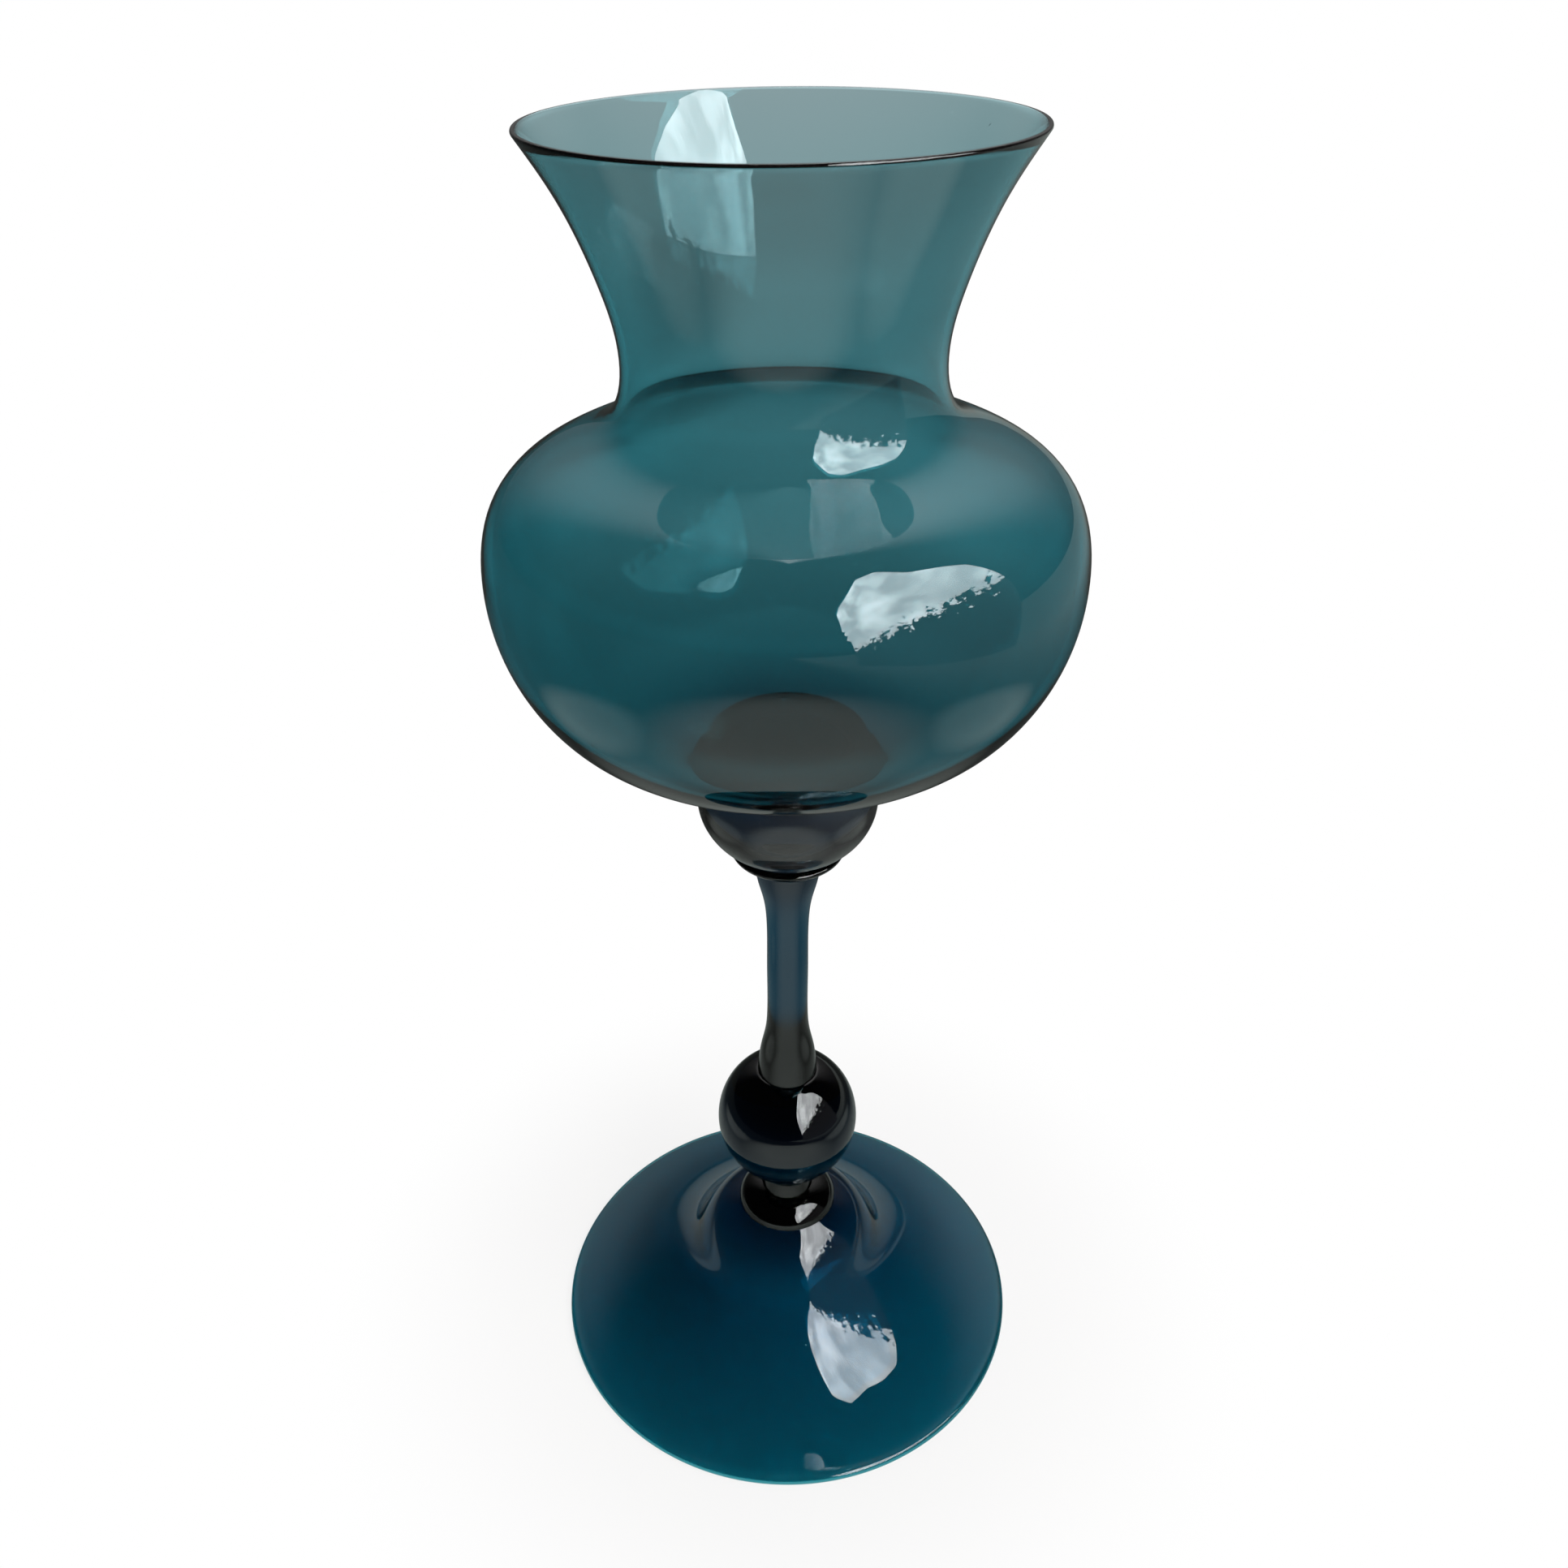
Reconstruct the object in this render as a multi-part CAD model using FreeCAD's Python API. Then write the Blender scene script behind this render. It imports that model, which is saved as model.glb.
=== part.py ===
import FreeCAD, Part
import math
import os

# A stemmed vase of clear smoky teal glass, blown and worked hot.
# Every piece is round about the Z axis, and the foot stands on Z = 0.
# The pieces are listed from the foot up. Each one stands on the one before it,
# on a flat round joint where the two were fused while hot.
# Lengths are in millimetres. A name ending in share or shares is a plain fraction.

# Foot: a hollow, bell-shaped stand with a rolled edge.
FOOT_RADIUS = 60.1
FOOT_HEIGHT = 36.8
FOOT_EDGE = 2.4
FOOT_WALL = 2.7
FOOT_CROWN_WALL = 4.6
FOOT_HOLLOW_HEIGHT = 30.0
STANDING_RING_WIDTH = 1.4
# Radius share from the button's joint to the edge, height share from the edge's top to the joint.
FOOT_OUTLINE_SHARES = (
    (0.116, 0.890),
    (0.202, 0.733),
    (0.288, 0.540),
    (0.439, 0.338),
    (0.633, 0.172),
    (0.829, 0.066),
)
FOOT_SHOULDER_SLOPE_SHARE = 0.58

# Button: a flattened bead on the foot, with the short neck that carries the ball.
BUTTON_RADIUS = 12.6
BUTTON_DOME_HEIGHT = 5.7
BUTTON_CREASE_RADIUS = 6.6
BUTTON_NECK_RADIUS = 6.2
BUTTON_NECK_LENGTH = 7.6
BUTTON_WAIST_SHARE = 0.95

# Ball knop: a solid ball, cut flat at both joints.
BALL_RADIUS = 17.6

# Stem: a solid drawn rod that flares at both ends.
STEM_LENGTH = 63.5
STEM_RADIUS = 4.9
STEM_BASE_RADIUS = 7.4
STEM_BASE_FLARE = 18.6
STEM_TOP_RADIUS = 7.7
STEM_TOP_FLARE = 16.4
# Share of the flare's extra radius, share of the flare's length up from the stem's end.
STEM_BASE_FLARE_SHARES = ((0.720, 0.360), (0.200, 0.710), (0.020, 1.0))
STEM_TOP_FLARE_SHARES = ((0.680, 0.320), (0.434, 0.487), (0.165, 0.715), (0.020, 1.0))

# Merese: the thin disc pressed between the stem and the cup knop.
MERESE_RADIUS = 12.6
MERESE_HEIGHT = 4.8
MERESE_TOP_RADIUS = 11.4
MERESE_WIDEST_SHARE = 0.88
MERESE_UNDERSIDE_SHARES = (0.465, 0.30)

# Cup knop: a solid bulb under the bowl.
CUP_RADIUS = 19.9
CUP_BELOW_WIDEST = 13.0
CUP_ABOVE_WIDEST = 12.5
CUP_TOP_RADIUS = 17.5

# Bowl: a thin blown bulb with a waisted neck and a flared mouth.
BOWL_HEIGHT = 123.5
BELLY_RADIUS = 59.5
BELLY_HEIGHT = 43.5
THROAT_RADIUS = 30.2
THROAT_HEIGHT = 84.0
RIM_RADIUS = 45.4
RIM_WALL = 0.95
BELLY_WALL = 1.9
BOWL_FLOOR = 3.6
# Radius share and height share, each from the lower size to the upper one.
BOWL_BASE_SHARES = ((0.340, 0.133), (0.640, 0.264), (0.912, 0.593))
BOWL_SHOULDER_SHARES = ((0.109, 0.345), (0.285, 0.485), (0.737, 0.650), (0.903, 0.735))
BOWL_NECK_SHARES = ((0.190, 0.356), (0.640, 0.772))
# How quickly the thick floor thins towards the belly.
FLOOR_THINNING_POWER = 4

# Places up the axis, each at the joint under the named piece.
BUTTON_Z = FOOT_HEIGHT
BALL_Z = BUTTON_Z + BUTTON_DOME_HEIGHT + BUTTON_NECK_LENGTH
BALL_CENTRE_Z = BALL_Z + math.sqrt(BALL_RADIUS**2 - BUTTON_NECK_RADIUS**2)
STEM_Z = BALL_CENTRE_Z + math.sqrt(BALL_RADIUS**2 - STEM_BASE_RADIUS**2)
MERESE_Z = STEM_Z + STEM_LENGTH
CUP_Z = MERESE_Z + MERESE_HEIGHT
BOWL_Z = CUP_Z + CUP_BELOW_WIDEST + CUP_ABOVE_WIDEST

UP = FreeCAD.Vector(0, 0, 1)
OUT = FreeCAD.Vector(1, 0, 0)


def at(radius, height):
    """A point of an outline: how far it is from the axis, and how high."""
    return FreeCAD.Vector(radius, 0, height)


def between(low, high, shares):
    """Points between two corners of an outline, by their shares of its radius and height."""
    return [
        at(low.x + across * (high.x - low.x), low.z + upward * (high.z - low.z))
        for across, upward in shares
    ]


def smooth(points, start):
    """One smooth curve through the points, with the direction in which it sets out."""
    free = len(points) - 1
    curve = Part.BSplineCurve()
    curve.interpolate(
        Points=points,
        Tangents=[start] + [OUT] * free,
        TangentFlags=[True] + [False] * free,
    )
    return curve


def line(start, end):
    """A straight edge."""
    return Part.LineSegment(start, end).toShape()


def turned(edges):
    """The solid that a closed outline sweeps about the axis."""
    outline = Part.Wire(Part.sortEdges(edges)[0])
    return Part.Face(outline).revolve(at(0, 0), UP, 360)


def turned_solid(curve, bottom, top):
    """A solid piece: a curve up its side, closed by a flat joint at each end."""
    side = [one.toShape() for one in curve]
    base = line(at(0, bottom.z), bottom)
    cap = line(top, at(0, top.z))
    axis = line(at(0, top.z), at(0, bottom.z))
    return turned(side + [base, cap, axis])


def inset(curve, point, wall):
    """The point that lies a wall's thickness inside an outline, square to it."""
    along = curve.tangent(curve.parameter(point))[0]
    inward = along.cross(FreeCAD.Vector(0, 1, 0)).normalize()
    if inward.x > 0:
        inward = inward.negative()
    return point + inward * wall


def foot():
    """The hollow stand: a shoulder, a steep side, and a wide edge that is rolled round."""
    joint = at(BUTTON_RADIUS, FOOT_HEIGHT)
    edge_top = at(FOOT_RADIUS - FOOT_EDGE / 2, FOOT_EDGE)
    side = between(at(joint.x, edge_top.z), at(edge_top.x, joint.z), FOOT_OUTLINE_SHARES)
    outer = smooth([joint] + side + [edge_top], OUT - UP * FOOT_SHOULDER_SLOPE_SHARE)
    ring_outside = at(FOOT_RADIUS - FOOT_EDGE / 2, 0)
    ring_inside = ring_outside - OUT * STANDING_RING_WIDTH
    edge = Part.Arc(edge_top, at(FOOT_RADIUS, FOOT_EDGE / 2), ring_outside)
    crown = at(0, FOOT_HOLLOW_HEIGHT)
    lining = [inset(outer, point, foot_wall(point.z)) for point in side[1:]]
    inner = smooth([crown] + lining + [ring_inside], OUT)
    return turned([
        line(at(0, FOOT_HEIGHT), joint),
        outer.toShape(),
        edge.toShape(),
        line(ring_outside, ring_inside),
        inner.toShape(),
        line(crown, at(0, FOOT_HEIGHT)),
    ])


def foot_wall(height):
    """The foot's wall thickness, which grows from its edge to its crown."""
    return FOOT_WALL + (FOOT_CROWN_WALL - FOOT_WALL) * height / FOOT_HEIGHT


def button():
    """A domed bead and the short waisted neck above it."""
    base = at(BUTTON_RADIUS, BUTTON_Z)
    crease = at(BUTTON_CREASE_RADIUS, BUTTON_Z + BUTTON_DOME_HEIGHT)
    quarter_share = BUTTON_CREASE_RADIUS / BUTTON_RADIUS
    full_height = BUTTON_DOME_HEIGHT / math.sqrt(1 - quarter_share**2)
    last = math.acos(quarter_share)
    dome = oval(BUTTON_Z, BUTTON_RADIUS, full_height, 0, last)
    top = at(BUTTON_NECK_RADIUS, BALL_Z)
    waist = at(BUTTON_NECK_RADIUS * BUTTON_WAIST_SHARE, (crease.z + top.z) / 2)
    neck = smooth([crease, waist, top], waist - crease)
    return turned_solid([dome, neck], base, top)


def oval(centre_z, radius, half_height, first, last):
    """A stretch of an oval about a point of the axis, from one angle to another."""
    middle_shares = (0.25, 0.5, 0.75)
    turns = [first + (last - first) * share for share in (0,) + middle_shares + (1,)]
    points = [at(radius * math.cos(turn), centre_z + half_height * math.sin(turn)) for turn in turns]
    return smooth(points, at(-radius * math.sin(first), half_height * math.cos(first)))


def ball_knop():
    """A ball, cut flat where the neck and the stem meet it."""
    bottom = at(BUTTON_NECK_RADIUS, BALL_Z)
    top = at(STEM_BASE_RADIUS, STEM_Z)
    round_side = Part.Arc(bottom, at(BALL_RADIUS, BALL_CENTRE_Z), top)
    return turned_solid([round_side], bottom, top)


def stem():
    """A rod that swells to the ball below and to the merese above."""
    bottom = at(STEM_BASE_RADIUS, STEM_Z)
    top = at(STEM_TOP_RADIUS, MERESE_Z)
    base_flare = [
        at(STEM_RADIUS + out * (STEM_BASE_RADIUS - STEM_RADIUS), bottom.z + up * STEM_BASE_FLARE)
        for out, up in STEM_BASE_FLARE_SHARES
    ]
    top_flare = [
        at(STEM_RADIUS + out * (STEM_TOP_RADIUS - STEM_RADIUS), top.z - down * STEM_TOP_FLARE)
        for out, down in STEM_TOP_FLARE_SHARES
    ]
    middle = at(STEM_RADIUS, (base_flare[-1].z + top_flare[-1].z) / 2)
    points = [bottom] + base_flare + [middle] + top_flare[::-1] + [top]
    return turned_solid([smooth(points, base_flare[0] - bottom)], bottom, top)


def merese():
    """A thin disc with a shallow sloping underside and a rounded edge."""
    bottom = at(STEM_TOP_RADIUS, MERESE_Z)
    top = at(MERESE_TOP_RADIUS, CUP_Z)
    widest = at(MERESE_RADIUS, MERESE_Z + MERESE_HEIGHT * MERESE_WIDEST_SHARE)
    underside = between(bottom, widest, [MERESE_UNDERSIDE_SHARES])
    points = [bottom] + underside + [widest, top]
    side = smooth(points, underside[0] - bottom)
    return turned_solid([side], bottom, top)


def cup_knop():
    """A bulb that is rounder below its widest line than above it."""
    bottom = at(MERESE_TOP_RADIUS, CUP_Z)
    widest = at(CUP_RADIUS, CUP_Z + CUP_BELOW_WIDEST)
    top = at(CUP_TOP_RADIUS, BOWL_Z)
    lower = quarter(widest, bottom)
    upper = quarter(widest, top)
    return turned_solid([lower, upper], bottom, top)


def quarter(widest, end):
    """The stretch of an upright oval from its widest point to a narrower end."""
    narrowing_share = end.x / widest.x
    last = math.acos(narrowing_share)
    half_height = (end.z - widest.z) / math.sin(last)
    return oval(widest.z, widest.x, half_height, 0, last)


def bowl():
    """The blown bulb: a thick floor, a wide belly, a waisted neck and a flared mouth."""
    joint = at(CUP_TOP_RADIUS, BOWL_Z)
    belly = at(BELLY_RADIUS, BOWL_Z + BELLY_HEIGHT)
    throat = at(THROAT_RADIUS, BOWL_Z + THROAT_HEIGHT)
    rim = at(RIM_RADIUS, BOWL_Z + BOWL_HEIGHT - RIM_WALL / 2)
    base = between(joint, belly, BOWL_BASE_SHARES)
    shoulder = between(belly, throat, BOWL_SHOULDER_SHARES)
    neck = between(throat, rim, BOWL_NECK_SHARES)
    side = base + [belly] + shoulder + [throat] + neck
    outer = smooth([joint] + side + [rim], base[0] - joint)
    floor = at(0, BOWL_Z + BOWL_FLOOR)
    lip_inside = inset(outer, rim, RIM_WALL)
    lining = [inset(outer, point, bowl_wall(point.z - BOWL_Z)) for point in side]
    inner = smooth([floor] + lining + [lip_inside], OUT)
    along = (rim - neck[-1]).normalize()
    lip = Part.Arc(rim, (rim + lip_inside) / 2 + along * (RIM_WALL / 2), lip_inside)
    return turned([
        line(floor, at(0, BOWL_Z)),
        line(at(0, BOWL_Z), joint),
        outer.toShape(),
        lip.toShape(),
        inner.toShape(),
    ])


def bowl_wall(height):
    """The bowl's wall thickness at a height above its joint."""
    if height < BELLY_HEIGHT:
        thick_share = (1 - height / BELLY_HEIGHT) ** FLOOR_THINNING_POWER
        return BELLY_WALL + (BOWL_FLOOR - BELLY_WALL) * thick_share
    risen_share = (height - BELLY_HEIGHT) / (BOWL_HEIGHT - BELLY_HEIGHT)
    return BELLY_WALL + (RIM_WALL - BELLY_WALL) * risen_share


PIECES = {
    "foot": foot,
    "foot_button": button,
    "ball_knop": ball_knop,
    "stem": stem,
    "merese": merese,
    "cup_knop": cup_knop,
    "bowl": bowl,
}

os.makedirs("parts", exist_ok=True)
for name, make in PIECES.items():
    shape = make()
    box = shape.BoundBox
    print(
        f"{name}: {shape.ShapeType}, valid {shape.isValid()}, {shape.Volume:.0f} mm3,"
        f" radius {box.XMax:.2f}, from {box.ZMin:.2f} to {box.ZMax:.2f}"
    )
    shape.exportStep(f"parts/{name}.step")
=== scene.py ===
import math

import bpy
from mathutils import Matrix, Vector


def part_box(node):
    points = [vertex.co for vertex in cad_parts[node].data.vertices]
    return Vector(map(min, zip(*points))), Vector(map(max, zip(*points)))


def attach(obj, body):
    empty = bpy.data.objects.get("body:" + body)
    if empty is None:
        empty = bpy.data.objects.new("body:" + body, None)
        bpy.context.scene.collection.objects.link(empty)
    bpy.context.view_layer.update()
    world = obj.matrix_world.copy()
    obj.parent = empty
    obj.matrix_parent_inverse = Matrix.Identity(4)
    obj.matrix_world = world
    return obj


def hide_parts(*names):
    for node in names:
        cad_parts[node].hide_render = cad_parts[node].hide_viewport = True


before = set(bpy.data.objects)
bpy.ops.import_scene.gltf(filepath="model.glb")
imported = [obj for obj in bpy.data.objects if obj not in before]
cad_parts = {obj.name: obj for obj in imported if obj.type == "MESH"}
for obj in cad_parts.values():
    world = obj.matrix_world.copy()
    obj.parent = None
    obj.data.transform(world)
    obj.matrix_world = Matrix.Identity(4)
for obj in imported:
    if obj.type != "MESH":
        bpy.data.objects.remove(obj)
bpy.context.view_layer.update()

# The foot is the hollow bell that the vase stands on, of thick smoky teal glass. It was blown
# and opened out, its edge was rolled round in the flame, and its crown was fused to the button.

MM = 0.001
TURN_STEPS = 256
OUTLINE_STEP = 1.3 * MM
JOINT_GAP = 0.02 * MM
WELD = 0.001 * MM
DISC_EDGE = math.radians(30)

foot_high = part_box("foot")[1]
button_low, button_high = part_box("foot_button")
FOOT_EDGE = 2.4 * MM
FOOT_WALL = 2.7 * MM
FOOT_CROWN_WALL = 4.6 * MM
FOOT_HOLLOW_HEIGHT = 30.0 * MM
STANDING_RING_WIDTH = 1.4 * MM
FOOT_OUTLINE_SHARES = (
    (0.116, 0.890), (0.202, 0.733), (0.288, 0.540), (0.439, 0.338), (0.633, 0.172), (0.829, 0.066),
)
FOOT_SHOULDER_SLOPE = 0.58
FOOT_RADIUS = foot_high.x
FOOT_HEIGHT = foot_high.z
BUTTON_RADIUS = button_high.x

CLEAR = "FFFFFF"
FOOT_TINT = "00E1EA"
FOOT_PER_MM = 1.3
GLASS_IOR = 1.5
WAVE_LENGTH = 22 * MM
WAVE_DEPTH = 0.15 * MM
WAVE_STRENGTH = 0.2
RING_LENGTH = 7 * MM
RING_STRETCH = 0.15
RING_DEPTH = 0.05 * MM
RING_STRENGTH = 0.1
SEED_SPACING = 9 * MM
SEED_SHARES = (0.025, 0.045)
SEED_DEPTH = 0.08 * MM
SEED_STRENGTH = 0.4
WORN_HEIGHT = 0.2 * MM
WORN_ROUGHNESS = 0.25
WORN_PATCH = 0.8 * MM
SMOOTH = {"interpolation_type": "SMOOTHSTEP"}
TIMES = {"operation": "MULTIPLY"}


def between(low, high, shares):
    """Points between two corners of an outline, by their shares of its radius and height."""
    return [(low[0] + a * (high[0] - low[0]), low[1] + b * (high[1] - low[1])) for a, b in shares]


def smooth_line(knots, start, spacing=OUTLINE_STEP):
    """A curve of even bend through the knots, as a thin batten would lie, in short steps."""
    lengths = [math.dist(a, b) for a, b in zip(knots, knots[1:])]
    last = len(knots) - 1
    slopes = []
    for axis in (0, 1):
        value = [k[axis] for k in knots]
        aim = start[axis] / math.hypot(*start)
        spread, pull = [0.0], [aim]
        for i in range(1, last):
            a, b = lengths[i - 1], lengths[i]
            rise = 3 * ((value[i] - value[i - 1]) / a**2 + (value[i + 1] - value[i]) / b**2)
            middle = 2 / a + 2 / b - spread[-1] / a
            pull.append((rise - pull[-1] / a) / middle)
            spread.append(1 / b / middle)
        a = lengths[-1]
        slope = [(3 * (value[-1] - value[-2]) / a - pull[-1]) / (2 - spread[-1])]
        for i in range(last - 1, -1, -1):
            slope.insert(0, pull[i] - spread[i] * slope[0])
        slopes.append(slope)
    line = []
    for i, length in enumerate(lengths):
        steps = max(2, round(length / spacing))
        for step in range(steps):
            t = step / steps
            line.append(tuple(
                (2 * t**3 - 3 * t**2 + 1) * knots[i][k]
                + (t**3 - 2 * t**2 + t) * length * slopes[k][i]
                + (3 * t**2 - 2 * t**3) * knots[i + 1][k]
                + (t**3 - t**2) * length * slopes[k][i + 1]
                for k in (0, 1)
            ))
    return line + [knots[-1]]


def inset(line, knot, wall):
    """The point that lies a wall's thickness inside an outline, square to it."""
    i = min(range(1, len(line) - 1), key=lambda k: math.dist(line[k], knot))
    across, upward = line[i + 1][0] - line[i - 1][0], line[i + 1][1] - line[i - 1][1]
    side = wall / math.hypot(across, upward) * (1 if upward > 0 else -1)
    return (knot[0] - upward * side, knot[1] + across * side)


def rounded(start, middle, end, steps=10):
    """A round lip: the half circle from start to end through the middle, without its two ends."""
    centre = ((start[0] + end[0]) / 2, (start[1] + end[1]) / 2)
    arm = (start[0] - centre[0], start[1] - centre[1])
    top = (middle[0] - centre[0], middle[1] - centre[1])
    turns = [math.pi * step / steps for step in range(1, steps)]
    return [tuple(centre[k] + arm[k] * math.cos(t) + top[k] * math.sin(t) for k in (0, 1)) for t in turns]


def turned(name, outline, joints):
    """A piece of glass worked round: its outline, drawn point by point, is spun about the axis.

    Its flat faces at the heights of the joints take the second material, as fused_joint makes it.
    """
    bpy.ops.object.select_all(action="DESELECT")
    bpy.ops.mesh.primitive_plane_add(size=MM, location=(outline[0][0], 0, outline[0][1]))
    piece = bpy.context.object
    piece.name = piece.data.name = name
    bpy.ops.object.transform_apply(location=True)
    bpy.ops.object.mode_set(mode="EDIT")
    bpy.ops.mesh.merge(type="CENTER")
    for here, there in zip(outline, outline[1:]):
        step = (there[0] - here[0], 0, there[1] - here[1])
        bpy.ops.mesh.extrude_vertices_move(TRANSFORM_OT_translate={"value": step})
    bpy.ops.mesh.select_all(action="SELECT")
    bpy.ops.mesh.spin(steps=TURN_STEPS, angle=2 * math.pi, center=(0, 0, 0), axis=(0, 0, 1))
    bpy.ops.mesh.select_all(action="SELECT")
    bpy.ops.mesh.remove_doubles(threshold=WELD)
    bpy.ops.mesh.normals_make_consistent(inside=False)
    bpy.ops.object.mode_set(mode="OBJECT")
    bpy.ops.object.shade_smooth_by_angle(angle=DISC_EDGE)
    for face in piece.data.polygons:
        face.material_index = int(any(abs(face.center.z - z) < WELD for z in joints))
    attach(piece, "root")
    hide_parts(name)
    return piece


def linear(hex_colour):
    """An sRGB hex colour as Blender's linear one."""
    parts = [int(hex_colour[i:i + 2], 16) / 255 for i in (0, 2, 4)]
    return [p / 12.92 if p <= 0.04045 else ((p + 0.055) / 1.055) ** 2.4 for p in parts] + [1]


def add(tree, kind, settings=None, **inputs):
    """Adds a node with its settings, and its inputs as values or as links from other nodes."""
    made = tree.nodes.new(kind)
    for key, value in (settings or {}).items():
        setattr(made, key, value)
    for key, value in inputs.items():
        socket = made.inputs[int(key[1:])] if key[1:].isdigit() else made.inputs[key.replace("_", " ")]
        if isinstance(value, bpy.types.NodeSocket):
            tree.links.new(value, socket)
        else:
            socket.default_value = value
    return made


def blank(name):
    """A new material with nothing in it yet."""
    material = bpy.data.materials.new(name)
    material.use_nodes = True
    material.node_tree.nodes.clear()
    return material, material.node_tree


def melt(name, tint, per_mm):
    """A new material, coloured in the melt: it takes more out of the light with each millimetre."""
    material, tree = blank(name)
    inside = add(tree, "ShaderNodeVolumeAbsorption", Color=linear(tint), Density=per_mm / MM)
    out = add(tree, "ShaderNodeOutputMaterial", Volume=inside.outputs[0])
    return material, tree, out.inputs["Surface"]


def teal_glass(name, smoke, tint, per_mm, film=0.0, worn=False):
    """Soda-lime glass, fire-polished: mirror-smooth, so that the room shows in it sharply.

    Slow waves and turning rings, left by the blowing, bend those reflections a little. The seeds
    are drawn somewhat larger than real ones, so that they show as dots. Smoke dims what comes
    through a wall of any thickness, and film is the share of a dull haze on it. Worn roughens
    the edge that it stands on, in patches drawn coarser than real scratches, so that they show.
    """
    material, tree, surface = melt(name, tint, per_mm)
    place = add(tree, "ShaderNodeTexCoord").outputs["Object"]
    waves = add(tree, "ShaderNodeTexNoise", Vector=place, Scale=1 / WAVE_LENGTH, Detail=1.0, Roughness=0.4)
    flat = add(tree, "ShaderNodeMapping", Vector=place, Scale=(RING_STRETCH, RING_STRETCH, 1)).outputs[0]
    rings = add(tree, "ShaderNodeTexNoise", Vector=flat, Scale=1 / RING_LENGTH, Detail=1.0, Roughness=0.5)
    seeds = add(tree, "ShaderNodeTexVoronoi", Vector=place, Scale=1 / SEED_SPACING)
    seeds = add(
        tree, "ShaderNodeMapRange", SMOOTH, Value=seeds.outputs["Distance"],
        From_Min=SEED_SHARES[0], From_Max=SEED_SHARES[1], To_Min=1.0, To_Max=0.0,
    )
    relief = add(tree, "ShaderNodeBump", Strength=WAVE_STRENGTH, Distance=WAVE_DEPTH, Height=waves.outputs[0])
    relief = add(
        tree, "ShaderNodeBump", Strength=RING_STRENGTH, Distance=RING_DEPTH,
        Height=rings.outputs[0], Normal=relief.outputs[0],
    )
    relief = add(
        tree, "ShaderNodeBump", Strength=SEED_STRENGTH, Distance=SEED_DEPTH,
        Height=seeds.outputs[0], Normal=relief.outputs[0],
    )
    body = add(
        tree, "ShaderNodeBsdfPrincipled", Base_Color=linear(smoke), Roughness=0.0,
        IOR=GLASS_IOR, Transmission_Weight=1.0 - film, Normal=relief.outputs[0],
    )
    if worn:
        height = add(tree, "ShaderNodeSeparateXYZ", Vector=place)
        scratches = add(tree, "ShaderNodeTexNoise", Vector=place, Scale=1 / WORN_PATCH, Detail=3.0)
        low = add(
            tree, "ShaderNodeMapRange", Value=height.outputs["Z"],
            From_Min=0.0, From_Max=WORN_HEIGHT, To_Min=WORN_ROUGHNESS, To_Max=0.0,
        )
        wear = add(tree, "ShaderNodeMath", TIMES, _0=low.outputs[0], _1=scratches.outputs[0])
        tree.links.new(wear.outputs[0], body.inputs["Roughness"])
    tree.links.new(body.outputs[0], surface)
    return material


def fused_joint(name, tint, per_mm):
    """Where two pieces were fused hot, nothing shows: light goes straight from glass to glass."""
    material, tree, surface = melt(name, tint, per_mm)
    tree.links.new(add(tree, "ShaderNodeBsdfTransparent").outputs[0], surface)
    return material


def glaze(piece, smoke, tint, per_mm, film=0.0, worn=False):
    """Gives a turned piece its glass, and its joints the same melt with no surface."""
    glass = teal_glass(f"teal glass of the {piece.name}", smoke, tint, per_mm, film, worn)
    piece.data.materials.append(glass)
    piece.data.materials.append(fused_joint(f"fused joint of the {piece.name}", tint, per_mm))


foot_joint = (BUTTON_RADIUS, FOOT_HEIGHT - JOINT_GAP / 2)
foot_edge_top = (FOOT_RADIUS - FOOT_EDGE / 2, FOOT_EDGE)
foot_side = between(
    (foot_joint[0], foot_edge_top[1]), (foot_edge_top[0], FOOT_HEIGHT), FOOT_OUTLINE_SHARES
)
foot_outer = smooth_line([foot_joint] + foot_side + [foot_edge_top], (1, -FOOT_SHOULDER_SLOPE))
foot_lining = [
    inset(foot_outer, knot, FOOT_WALL + (FOOT_CROWN_WALL - FOOT_WALL) * knot[1] / FOOT_HEIGHT)
    for knot in foot_side[1:]
]
ring_outside = (foot_edge_top[0], 0)
ring_inside = (ring_outside[0] - STANDING_RING_WIDTH, 0)
foot_inner = smooth_line([(0, FOOT_HOLLOW_HEIGHT)] + foot_lining + [ring_inside], (1, 0))
foot_rolled = rounded(foot_edge_top, (FOOT_RADIUS, FOOT_EDGE / 2), ring_outside)
foot = turned(
    "foot",
    [(0, foot_joint[1])] + foot_outer + foot_rolled + [ring_outside] + foot_inner[::-1],
    joints=[foot_joint[1]],
)
glaze(foot, CLEAR, FOOT_TINT, FOOT_PER_MM, worn=True)

# The button is a solid bead of the same glass, set on the foot while hot and flattened to a
# dome, with the short waisted neck that was pulled from it to take the ball.

BUTTON_DOME_HEIGHT = 5.7 * MM
BUTTON_CREASE_RADIUS = 6.6 * MM
BUTTON_NECK_RADIUS = 6.2 * MM
BUTTON_WAIST_SHARE = 0.95
TINT = "2CD0D9"
PER_MM = 0.95


def oval(centre_z, radius, half_height, first, last, steps=14):
    """A stretch of an oval about a point of the axis, from one angle to another."""
    turns = [first + (last - first) * step / steps for step in range(steps + 1)]
    return [(radius * math.cos(t), centre_z + half_height * math.sin(t)) for t in turns]


def solid(name, side):
    """A solid piece, turned from the outline of its side, with a flat joint at each end."""
    low = side[0][1] + JOINT_GAP / 2
    high = side[-1][1] - JOINT_GAP / 2
    side = [(side[0][0], low)] + side[1:-1] + [(side[-1][0], high)]
    return turned(name, [(0, low)] + side + [(0, high)], joints=[low, high])


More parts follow.
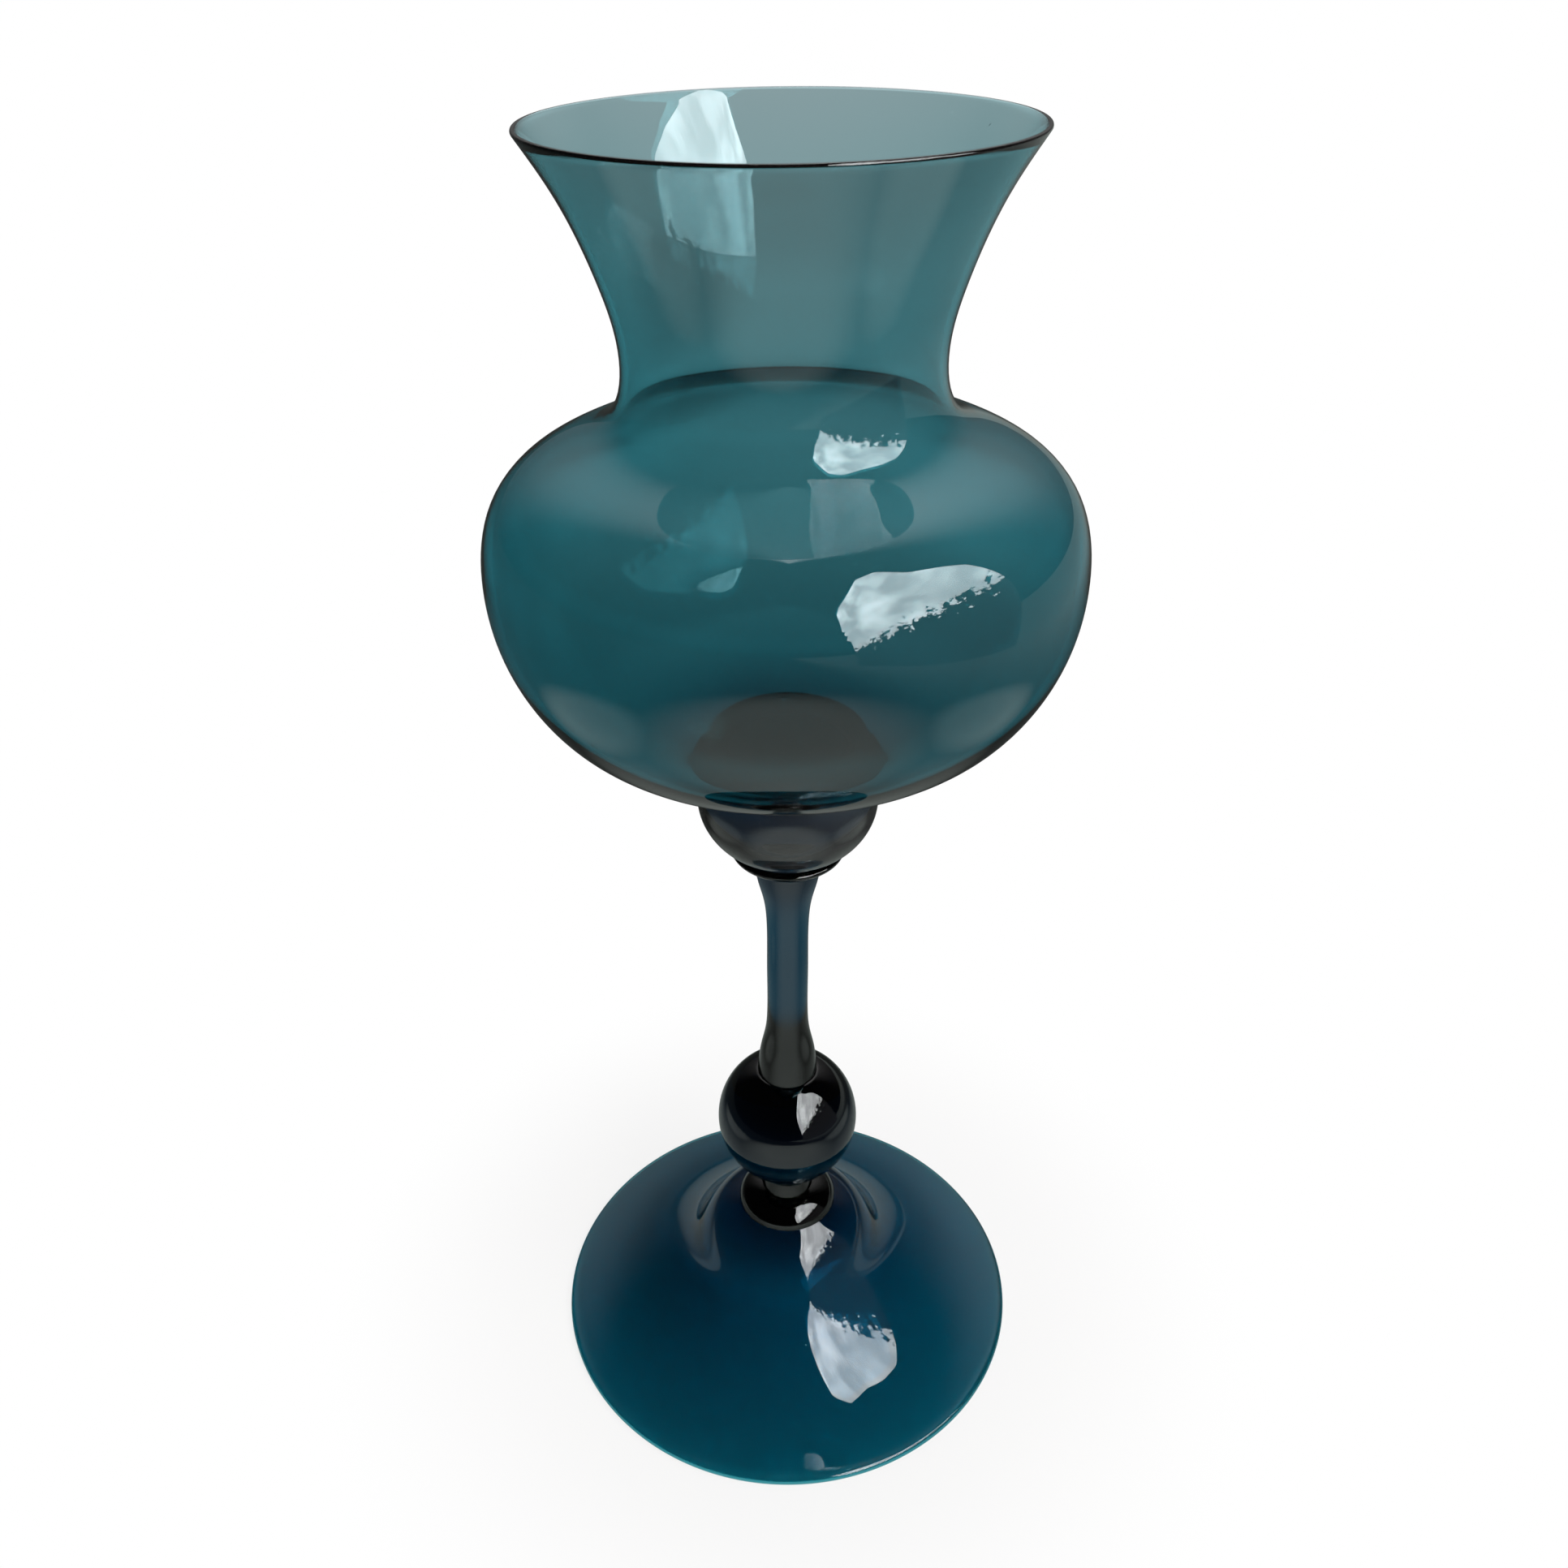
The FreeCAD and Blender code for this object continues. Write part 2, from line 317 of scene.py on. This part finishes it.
crease = (BUTTON_CREASE_RADIUS, button_low.z + BUTTON_DOME_HEIGHT)
crease_turn = math.acos(BUTTON_CREASE_RADIUS / BUTTON_RADIUS)
dome = oval(button_low.z, BUTTON_RADIUS, BUTTON_DOME_HEIGHT / math.sin(crease_turn), 0, crease_turn)
neck_top = (BUTTON_NECK_RADIUS, button_high.z)
waist = (BUTTON_NECK_RADIUS * BUTTON_WAIST_SHARE, (crease[1] + neck_top[1]) / 2)
neck = smooth_line([crease, waist, neck_top], (waist[0] - crease[0], waist[1] - crease[1]))
foot_button = solid("foot_button", dome + neck[1:])
glaze(foot_button, CLEAR, TINT, PER_MM)

# The ball knop is solid, of the same glass, and was rounded in a wet wooden block. It is so
# thick that it looks almost black.

ball_low, ball_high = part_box("ball_knop")
STEM_BASE_RADIUS = 7.4 * MM
BALL_RADIUS = ball_high.x
BALL_PER_MM = 0.55
ball_centre = ball_low.z + math.sqrt(BALL_RADIUS**2 - BUTTON_NECK_RADIUS**2)
ball_side = oval(
    ball_centre, BALL_RADIUS, BALL_RADIUS,
    -math.acos(BUTTON_NECK_RADIUS / BALL_RADIUS), math.acos(STEM_BASE_RADIUS / BALL_RADIUS), steps=64,
)
ball_knop = solid("ball_knop", ball_side)
glaze(ball_knop, CLEAR, TINT, BALL_PER_MM)

# The stem is a solid rod of the same glass, drawn from a hot gather, which leaves it thin in the
# middle and flared at both ends. It was fused to the ball below and to the merese above.

stem_low, stem_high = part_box("stem")
STEM_RADIUS = 4.9 * MM
STEM_BASE_FLARE = 18.6 * MM
STEM_TOP_RADIUS = 7.7 * MM
STEM_TOP_FLARE = 16.4 * MM
STEM_BASE_FLARE_SHARES = ((0.720, 0.360), (0.200, 0.710), (0.020, 1.0))
STEM_TOP_FLARE_SHARES = ((0.680, 0.320), (0.434, 0.487), (0.165, 0.715), (0.020, 1.0))
stem_bottom = (STEM_BASE_RADIUS, stem_low.z)
stem_top = (STEM_TOP_RADIUS, stem_high.z)
base_flare = between(
    (STEM_RADIUS, stem_low.z), (STEM_BASE_RADIUS, stem_low.z + STEM_BASE_FLARE), STEM_BASE_FLARE_SHARES
)
top_flare = between(
    (STEM_RADIUS, stem_high.z), (STEM_TOP_RADIUS, stem_high.z - STEM_TOP_FLARE), STEM_TOP_FLARE_SHARES
)
stem_middle = (STEM_RADIUS, (base_flare[-1][1] + top_flare[-1][1]) / 2)
stem_knots = [stem_bottom] + base_flare + [stem_middle] + top_flare[::-1] + [stem_top]
stem_aim = (base_flare[0][0] - stem_bottom[0], base_flare[0][1] - stem_bottom[1])
stem = solid("stem", smooth_line(stem_knots, stem_aim))
glaze(stem, CLEAR, TINT, PER_MM)

# The merese is a thin disc of the same glass, pressed flat between the stem and the cup knop,
# with a rounded edge and a sloping underside.

merese_low, merese_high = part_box("merese")
MERESE_TOP_RADIUS = 11.4 * MM
MERESE_WIDEST_SHARE = 0.88
MERESE_UNDERSIDE_SHARES = (0.465, 0.30)
MERESE_STEP = 0.35 * MM
merese_bottom = (STEM_TOP_RADIUS, merese_low.z)
merese_widest = (merese_high.x, merese_low.z + (merese_high.z - merese_low.z) * MERESE_WIDEST_SHARE)
merese_underside = between(merese_bottom, merese_widest, [MERESE_UNDERSIDE_SHARES])
merese_aim = (merese_underside[0][0] - merese_bottom[0], merese_underside[0][1] - merese_bottom[1])
merese_knots = [merese_bottom] + merese_underside + [merese_widest, (MERESE_TOP_RADIUS, merese_high.z)]
merese = solid("merese", smooth_line(merese_knots, merese_aim, MERESE_STEP))
glaze(merese, CLEAR, TINT, PER_MM)

# The cup knop is the solid bulb of the same glass that carries the bowl, shaped in a block on
# the bowl's underside. It is rounder below its widest line than above it, and a little hazy.

cup_low, cup_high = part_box("cup_knop")
CUP_BELOW_WIDEST = 13.0 * MM
CUP_TOP_RADIUS = 17.5 * MM
CUP_RADIUS = cup_high.x
CUP_PER_MM = 0.42
CUP_FILM = 0.02
cup_widest = cup_low.z + CUP_BELOW_WIDEST
cup_above_widest = cup_high.z - cup_widest
lower_turn = math.acos(MERESE_TOP_RADIUS / CUP_RADIUS)
upper_turn = math.acos(CUP_TOP_RADIUS / CUP_RADIUS)
cup_lower = oval(cup_widest, CUP_RADIUS, CUP_BELOW_WIDEST / math.sin(lower_turn), -lower_turn, 0, steps=24)
cup_upper = oval(cup_widest, CUP_RADIUS, cup_above_widest / math.sin(upper_turn), 0, upper_turn, steps=20)
cup_knop = solid("cup_knop", cup_lower + cup_upper[1:])
glaze(cup_knop, CLEAR, TINT, CUP_PER_MM, film=CUP_FILM)

# The bowl is a thin bubble of the same glass, blown out to a wide belly, necked in with the
# jacks and flared at the mouth, whose lip was fire-polished. It leans a hair on its stem.

bowl_low, bowl_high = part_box("bowl")
BELLY_HEIGHT = 43.5 * MM
THROAT_RADIUS = 30.2 * MM
THROAT_HEIGHT = 84.0 * MM
RIM_RADIUS = 45.4 * MM
RIM_WALL = 0.95 * MM
BELLY_WALL = 1.9 * MM
BOWL_FLOOR = 3.6 * MM
BOWL_LEAN = math.radians(0.6)
LIP_RISE = 0.3 * MM
BOWL_HEIGHT = bowl_high.z - bowl_low.z - LIP_RISE - RIM_RADIUS * math.sin(BOWL_LEAN)
BOWL_BASE_SHARES = ((0.340, 0.133), (0.640, 0.264), (0.912, 0.593))
BOWL_SHOULDER_SHARES = ((0.109, 0.345), (0.285, 0.485), (0.737, 0.650), (0.903, 0.735))
BOWL_NECK_SHARES = ((0.190, 0.356), (0.640, 0.772))
FLOOR_THINNING_POWER = 4
BOWL_STEP = 1.5 * MM
BOWL_SMOKE = "E0C8C8"
BOWL_TINT = "18D5DC"
BOWL_FILM = 0.005


def bowl_wall(height):
    """The bowl's wall thickness at a height above its joint."""
    if height < BELLY_HEIGHT:
        return BELLY_WALL + (BOWL_FLOOR - BELLY_WALL) * (1 - height / BELLY_HEIGHT) ** FLOOR_THINNING_POWER
    return BELLY_WALL + (RIM_WALL - BELLY_WALL) * (height - BELLY_HEIGHT) / (BOWL_HEIGHT - BELLY_HEIGHT)


bowl_joint = (CUP_TOP_RADIUS, bowl_low.z + JOINT_GAP / 2)
belly = (bowl_high.x, bowl_low.z + BELLY_HEIGHT)
throat = (THROAT_RADIUS, bowl_low.z + THROAT_HEIGHT)
rim = (RIM_RADIUS, bowl_low.z + BOWL_HEIGHT - RIM_WALL / 2)
bowl_base = between((CUP_TOP_RADIUS, bowl_low.z), belly, BOWL_BASE_SHARES)
bowl_neck = between(throat, rim, BOWL_NECK_SHARES)
bowl_side = bowl_base + [belly] + between(belly, throat, BOWL_SHOULDER_SHARES) + [throat] + bowl_neck
bowl_aim = (bowl_base[0][0] - bowl_joint[0], bowl_base[0][1] - bowl_joint[1])
bowl_outer = smooth_line([bowl_joint] + bowl_side + [rim], bowl_aim, BOWL_STEP)
bowl_lining = [inset(bowl_outer, knot, bowl_wall(knot[1] - bowl_low.z)) for knot in bowl_side]
lip_run = (rim[0] - bowl_neck[-1][0], rim[1] - bowl_neck[-1][1])
lip_length = math.hypot(*lip_run)
lip_inside = (rim[0] - RIM_WALL * lip_run[1] / lip_length, rim[1] + RIM_WALL * lip_run[0] / lip_length)
lip_top = tuple(
    (rim[k] + lip_inside[k]) / 2 + lip_run[k] / lip_length * RIM_WALL / 2 for k in (0, 1)
)
bowl_inner = smooth_line([(0, bowl_low.z + BOWL_FLOOR)] + bowl_lining + [lip_inside], (1, 0), BOWL_STEP)
bowl = turned(
    "bowl",
    [(0, bowl_joint[1])] + bowl_outer + rounded(rim, lip_top, lip_inside) + bowl_inner[::-1],
    joints=[bowl_joint[1]],
)
bpy.ops.object.select_all(action="DESELECT")
bowl.select_set(True)
bpy.context.view_layer.objects.active = bowl
bpy.ops.object.mode_set(mode="EDIT")
bpy.ops.mesh.select_all(action="SELECT")
bpy.ops.transform.rotate(
    value=BOWL_LEAN, orient_axis="Y", orient_type="GLOBAL", center_override=(0, 0, bowl_low.z)
)
bpy.ops.object.mode_set(mode="OBJECT")
glaze(bowl, BOWL_SMOKE, BOWL_TINT, PER_MM, film=BOWL_FILM)

# The floor is a wide sheet of matt pale paper, which mirrors nothing. The camera sees it white,
# with the vase's soft shadow round the foot. Seen through the glass it glows with painted light and
# shade instead: painted shade in front of the vase and near its foot, painted light lightest about
# 0.7 m behind, and painted shade again far off.

FLOOR_SIZE = 30
PAPER = "C2BDBA"
WHITE = (1, 1, 1, 1)
FOOT_PRINT = 0.0595
LENGTH = {"operation": "LENGTH"}
LARGER = {"operation": "MAXIMUM"}
# Each change of light is its two ends, in metres, and then its level at the one and the other.
SHADOW = (0.055, 0.13, 0.84, 1.0)
# From here on each change is painted light and shade, which only the glass sees.
PAINTED_GLOW_UNDER_FOOT = (0.028, 0.056, 0.0, 0.08)
PAINTED_SHADE_NEAR_FOOT = (0.060, 0.12, 0.2, 1.0)
PAINTED_SHADE_IN_FRONT = (-0.17, -0.09, 0.0, 1.0)
PAINTED_LIGHT_BEHIND = (0.42, 0.66, 1.0, 1.32)
PAINTED_SHADE_FAR_OFF = (0.75, 1.6, 1.0, 0.66)
DIMMEST_PAINTED_LEVEL = 0.25
# Each painted patch is its centre, its reach to the side and to the back, and the level at its core;
# the first is painted shade, the other two are painted light.
PAINTED_PATCHES = (
    ((-0.13, 1.1, 0), (0.11, 0.40), 0.68), ((0.17, 0.6, 0), (0.14, 0.24), 1.35),
    ((-0.17, 0.66, 0), (0.11, 0.16), 1.25),
)
PAINTED_PATCH_CORE_SHARE = 0.3


def painted_oval_patch(tree, place, centre, reach, core_share, around, at_core):
    """A painted level of light that goes softly from the one around an oval patch to the one at its core."""
    off = add(tree, "ShaderNodeVectorMath", {"operation": "SUBTRACT"}, _0=place, _1=centre)
    shrink = (1 / reach[0], 1 / reach[1], 0)
    off = add(tree, "ShaderNodeVectorMath", TIMES, _0=off.outputs[0], _1=shrink)
    off = add(tree, "ShaderNodeVectorMath", LENGTH, _0=off.outputs[0])
    patch = add(
        tree, "ShaderNodeMapRange", SMOOTH, Value=off.outputs["Value"],
        From_Min=1.0, From_Max=core_share, To_Min=around, To_Max=at_core,
    )
    return patch.outputs[0]


def level_sheet(name, height):
    """A square sheet, as wide as the floor, lying level at a height."""
    bpy.ops.object.select_all(action="DESELECT")
    bpy.ops.mesh.primitive_plane_add(size=FLOOR_SIZE, location=(0, 0, height))
    sheet = bpy.context.object
    sheet.name = name
    bpy.ops.object.transform_apply(location=True)
    return sheet


floor = level_sheet("floor", 0)
paper, tree = blank("pale studio paper")
place = add(tree, "ShaderNodeTexCoord").outputs["Object"]
away = add(tree, "ShaderNodeVectorMath", LENGTH, _0=place).outputs["Value"]
depth = add(tree, "ShaderNodeSeparateXYZ", Vector=place).outputs["Y"]
shadow, painted_glow_under_foot, *painted_levels = [
    add(
        tree, "ShaderNodeMapRange", SMOOTH, Value=along,
        From_Min=start, From_Max=end, To_Min=first, To_Max=last,
    ).outputs[0]
    for along, (start, end, first, last) in (
        (away, SHADOW), (away, PAINTED_GLOW_UNDER_FOOT),
        (away, PAINTED_SHADE_NEAR_FOOT), (depth, PAINTED_SHADE_IN_FRONT), (away, PAINTED_LIGHT_BEHIND), (away, PAINTED_SHADE_FAR_OFF),
    )
]
painted_levels += [
    painted_oval_patch(tree, place, centre, reach, PAINTED_PATCH_CORE_SHARE, 1.0, light)
    for centre, reach, light in PAINTED_PATCHES
]
level = painted_levels[0]
for part in painted_levels[1:]:
    level = add(tree, "ShaderNodeMath", TIMES, _0=level, _1=part).outputs[0]
level = add(tree, "ShaderNodeMath", LARGER, _0=level, _1=DIMMEST_PAINTED_LEVEL).outputs[0]
ray = add(tree, "ShaderNodeLightPath").outputs
level = add(tree, "ShaderNodeMix", {"data_type": "FLOAT"}, _0=ray["Is Camera Ray"], _2=level, _3=1.0)
in_glass = add(tree, "ShaderNodeMath", LARGER, _0=ray["Is Glossy Ray"], _1=ray["Is Transmission Ray"])
beyond_foot = add(tree, "ShaderNodeMath", {"operation": "GREATER_THAN"}, _0=away, _1=FOOT_PRINT).outputs[0]
through = add(tree, "ShaderNodeMath", LARGER, _0=beyond_foot, _1=painted_glow_under_foot)
through = add(tree, "ShaderNodeMath", TIMES, _0=through.outputs[0], _1=in_glass.outputs[0])
lift = add(tree, "ShaderNodeMath", TIMES, _0=shadow, _1=beyond_foot)
lift = add(tree, "ShaderNodeMath", TIMES, _0=lift.outputs[0], _1=ray["Is Camera Ray"])
seen = add(tree, "ShaderNodeMath", LARGER, _0=lift.outputs[0], _1=through.outputs[0])
lit = add(tree, "ShaderNodeBsdfDiffuse", Color=linear(PAPER))
# Through the glass this glow is painted light and shade; to the camera it is the white backdrop.
white = add(tree, "ShaderNodeEmission", Color=WHITE, Strength=level.outputs[0])
shown = add(tree, "ShaderNodeMixShader", Fac=seen.outputs[0], _1=lit.outputs[0], _2=white.outputs[0])
add(tree, "ShaderNodeOutputMaterial", Surface=shown.outputs[0])
floor.data.materials.append(paper)

# The room is dark in front and on both sides, and its grey wall behind grows brighter with
# height. In its place the camera sees a white backdrop, also through the glass where it looks
# out low.

WALL_LIGHT = 0.12
WALL_CLIMB = 2.7
DARK_LIGHT = 0.012
DARK_ENDS = ((-165, -122), (160, 114))
BACKDROP_TOP = (0.15, 0.3)
world = bpy.context.scene.world or bpy.data.worlds.new("room")
bpy.context.scene.world = world
world.use_nodes = True
tree = world.node_tree
tree.nodes.clear()
toward = add(tree, "ShaderNodeTexCoord").outputs["Generated"]
toward = add(tree, "ShaderNodeSeparateXYZ", Vector=toward).outputs
ahead = add(tree, "ShaderNodeMath", TIMES, _0=toward["Y"], _1=-1.0)
bearing = add(tree, "ShaderNodeMath", {"operation": "ARCTAN2"}, _0=toward["X"], _1=ahead.outputs[0])
left_end, right_end = [
    add(
        tree, "ShaderNodeMapRange", SMOOTH, Value=bearing.outputs[0],
        From_Min=math.radians(start), From_Max=math.radians(end),
    ).outputs[0]
    for start, end in DARK_ENDS
]
dark_side = add(tree, "ShaderNodeMath", TIMES, _0=left_end, _1=right_end)
climb = add(tree, "ShaderNodeMath", TIMES, _0=toward["Z"], _1=toward["Z"])
climb = add(
    tree, "ShaderNodeMath", {"operation": "MULTIPLY_ADD"}, _0=climb.outputs[0], _1=WALL_CLIMB, _2=WALL_LIGHT
)
wall = add(tree, "ShaderNodeBackground", Color=WHITE, Strength=climb.outputs[0])
dark = add(tree, "ShaderNodeBackground", Color=WHITE, Strength=DARK_LIGHT)
room = add(tree, "ShaderNodeMixShader", Fac=dark_side.outputs[0], _1=wall.outputs[0], _2=dark.outputs[0])
low = add(
    tree, "ShaderNodeMapRange", Value=toward["Z"],
    From_Min=BACKDROP_TOP[0], From_Max=BACKDROP_TOP[1], To_Min=1.0, To_Max=0.0,
)
ray = add(tree, "ShaderNodeLightPath").outputs
low = add(tree, "ShaderNodeMath", TIMES, _0=low.outputs[0], _1=ray["Is Transmission Ray"])
seen = add(tree, "ShaderNodeMath", LARGER, _0=low.outputs[0], _1=ray["Is Camera Ray"])
backdrop = add(tree, "ShaderNodeBackground", Color=WHITE, Strength=1.0)
room = add(tree, "ShaderNodeMixShader", Fac=seen.outputs[0], _1=room.outputs[0], _2=backdrop.outputs[0])
add(tree, "ShaderNodeOutputWorld", Surface=room.outputs[0])

# The lamp on the right is soft, shaped as a window and hidden from the camera. It is bright as
# a cloudy sky above, and dim below a ragged line, as a hedge outside would make it.

LAMP_AWAY = 0.6
LAMP_CORNERS = (
    (-1.32, 0.005), (-0.04, 0.005), (-0.04, 0.78), (-0.11, 0.98), (-0.22, 1.20), (-0.31, 1.75),
    (-0.60, 2.05), (-1.07, 1.88), (-1.50, 1.75), (-1.72, 1.50),
    (-1.70, 0.84), (-1.62, 0.80), (-1.66, 0.70), (-1.56, 0.66), (-1.60, 0.56), (-1.50, 0.50),
)
DAYLIGHT = (0.95, 0.985, 1, 1)
HEDGE_ENDS = (-1.3, -0.6)
HEDGE_HEIGHTS = (0.32, 0.50)
HEDGE_EDGE = (-0.006, 0.008)
HEDGE_LIGHT = 0.15
LEAF_SCALE = 10.0
CLOUD_SCALE = 2.2
CLOUD_SPREAD = (0.38, 0.62)
CLOUD_LIGHT = (7.0, 15.0)
lamp_points = [(LAMP_AWAY, y, z) for y, z in LAMP_CORNERS]
lamp_mesh = bpy.data.meshes.new("window lamp")
lamp_mesh.from_pydata(lamp_points, [], [list(range(len(lamp_points)))])
lamp = bpy.data.objects.new("window_lamp", lamp_mesh)
bpy.context.scene.collection.objects.link(lamp)
lamp.visible_camera = False
glow, tree = blank("window light")
place = add(tree, "ShaderNodeTexCoord").outputs["Object"]
across = add(tree, "ShaderNodeSeparateXYZ", Vector=place)
hedge = add(
    tree, "ShaderNodeMapRange", Value=across.outputs["Y"],
    From_Min=HEDGE_ENDS[0], From_Max=HEDGE_ENDS[1], To_Min=HEDGE_HEIGHTS[0], To_Max=HEDGE_HEIGHTS[1],
)
leaves = add(tree, "ShaderNodeTexNoise", Vector=place, Scale=LEAF_SCALE, Detail=6.0, Roughness=0.75)
leaves = add(tree, "ShaderNodeMath", {"operation": "SUBTRACT"}, _0=leaves.outputs[0], _1=0.5)
hedge = add(tree, "ShaderNodeMath", {"operation": "ADD"}, _0=hedge.outputs[0], _1=leaves.outputs[0])
above = add(tree, "ShaderNodeMath", {"operation": "SUBTRACT"}, _0=across.outputs["Z"], _1=hedge.outputs[0])
clouds = add(tree, "ShaderNodeTexNoise", Vector=place, Scale=CLOUD_SCALE, Detail=3.0)
clouds = add(
    tree, "ShaderNodeMapRange", Value=clouds.outputs[0],
    From_Min=CLOUD_SPREAD[0], From_Max=CLOUD_SPREAD[1], To_Min=CLOUD_LIGHT[0], To_Max=CLOUD_LIGHT[1],
)
sky = add(
    tree, "ShaderNodeMapRange", SMOOTH, Value=above.outputs[0],
    From_Min=HEDGE_EDGE[0], From_Max=HEDGE_EDGE[1], To_Min=HEDGE_LIGHT, To_Max=clouds.outputs[0],
)
shine = add(tree, "ShaderNodeEmission", Color=DAYLIGHT, Strength=sky.outputs[0])
add(tree, "ShaderNodeOutputMaterial", Surface=shine.outputs[0])
lamp_mesh.materials.append(glow)

# A second sheet, which shows only in what the glass mirrors, lies just above the floor. It is a
# painted reflection that glows: dim, with painted light growing towards the lamp, and soft pale
# pools of painted light in front of the vase, round its foot and at its sides.

MIRRORED_HEIGHT = 0.2 * MM
PAINTED_REFLECTION_TINT = (0.89, 1, 0.94, 1)
PAINTED_RAMP_ENDS = (0.22, 0.6)
PAINTED_RAMP_LIGHT = (0.05, 0.34)
PAINTED_LIGHT_POOLS = (
    ((0, -0.27, 0), (0.30, 0.34), 0.85), ((0, 0, 0), (0.24, 0.22), 0.30),
    ((-0.24, -0.03, 0), (0.13, 0.18), 0.5), ((0.25, -0.03, 0), (0.13, 0.18), 0.55),
)
PAINTED_POOL_CORE_SHARE = 0.4
painted_sheet = level_sheet("painted_reflection_sheet", MIRRORED_HEIGHT)
painted_sheet.visible_camera = painted_sheet.visible_diffuse = painted_sheet.visible_transmission = False
painted_sheet.visible_volume_scatter = painted_sheet.visible_shadow = False
glow_of_painted_reflection, tree = blank("painted reflection of lit paper")
place = add(tree, "ShaderNodeTexCoord").outputs["Object"]
across = add(tree, "ShaderNodeSeparateXYZ", Vector=place)
level = add(
    tree, "ShaderNodeMapRange", SMOOTH, Value=across.outputs["X"],
    From_Min=PAINTED_RAMP_ENDS[0], From_Max=PAINTED_RAMP_ENDS[1], To_Min=PAINTED_RAMP_LIGHT[0], To_Max=PAINTED_RAMP_LIGHT[1],
).outputs[0]
for centre, reach, light in PAINTED_LIGHT_POOLS:
    painted_pool = painted_oval_patch(tree, place, centre, reach, PAINTED_POOL_CORE_SHARE, 0.0, light)
    level = add(tree, "ShaderNodeMath", LARGER, _0=level, _1=painted_pool).outputs[0]
# This glow is the painted reflection: painted light and shade that the glass mirrors.
pale = add(tree, "ShaderNodeEmission", Color=PAINTED_REFLECTION_TINT, Strength=level)
add(tree, "ShaderNodeOutputMaterial", Surface=pale.outputs[0])
painted_sheet.data.materials.append(glow_of_painted_reflection)

# The camera stands where the photograph was taken from, about a third of a metre up and a
# quarter of a metre in front of the vase's axis, and looks down on it.

FOCAL_PIXELS = 1755.66
PHOTO_PIXELS = 1932
SENSOR_WIDTH = 36
NEAREST_SEEN = 10 * MM
CAMERA_PLACE = (-0.85 * MM, -263.23 * MM, 333.68 * MM)
LOOK_DOWN = 32.41
camera_data = bpy.data.cameras.new("camera")
camera_data.sensor_width = SENSOR_WIDTH
camera_data.lens = FOCAL_PIXELS / PHOTO_PIXELS * SENSOR_WIDTH
camera_data.clip_start = NEAREST_SEEN
camera = bpy.data.objects.new("camera", camera_data)
bpy.context.scene.collection.objects.link(camera)
camera.location = CAMERA_PLACE
camera.rotation_euler = (math.radians(90 - LOOK_DOWN), 0, 0)
bpy.context.scene.camera = camera
bpy.context.scene.view_settings.view_transform = "Standard"
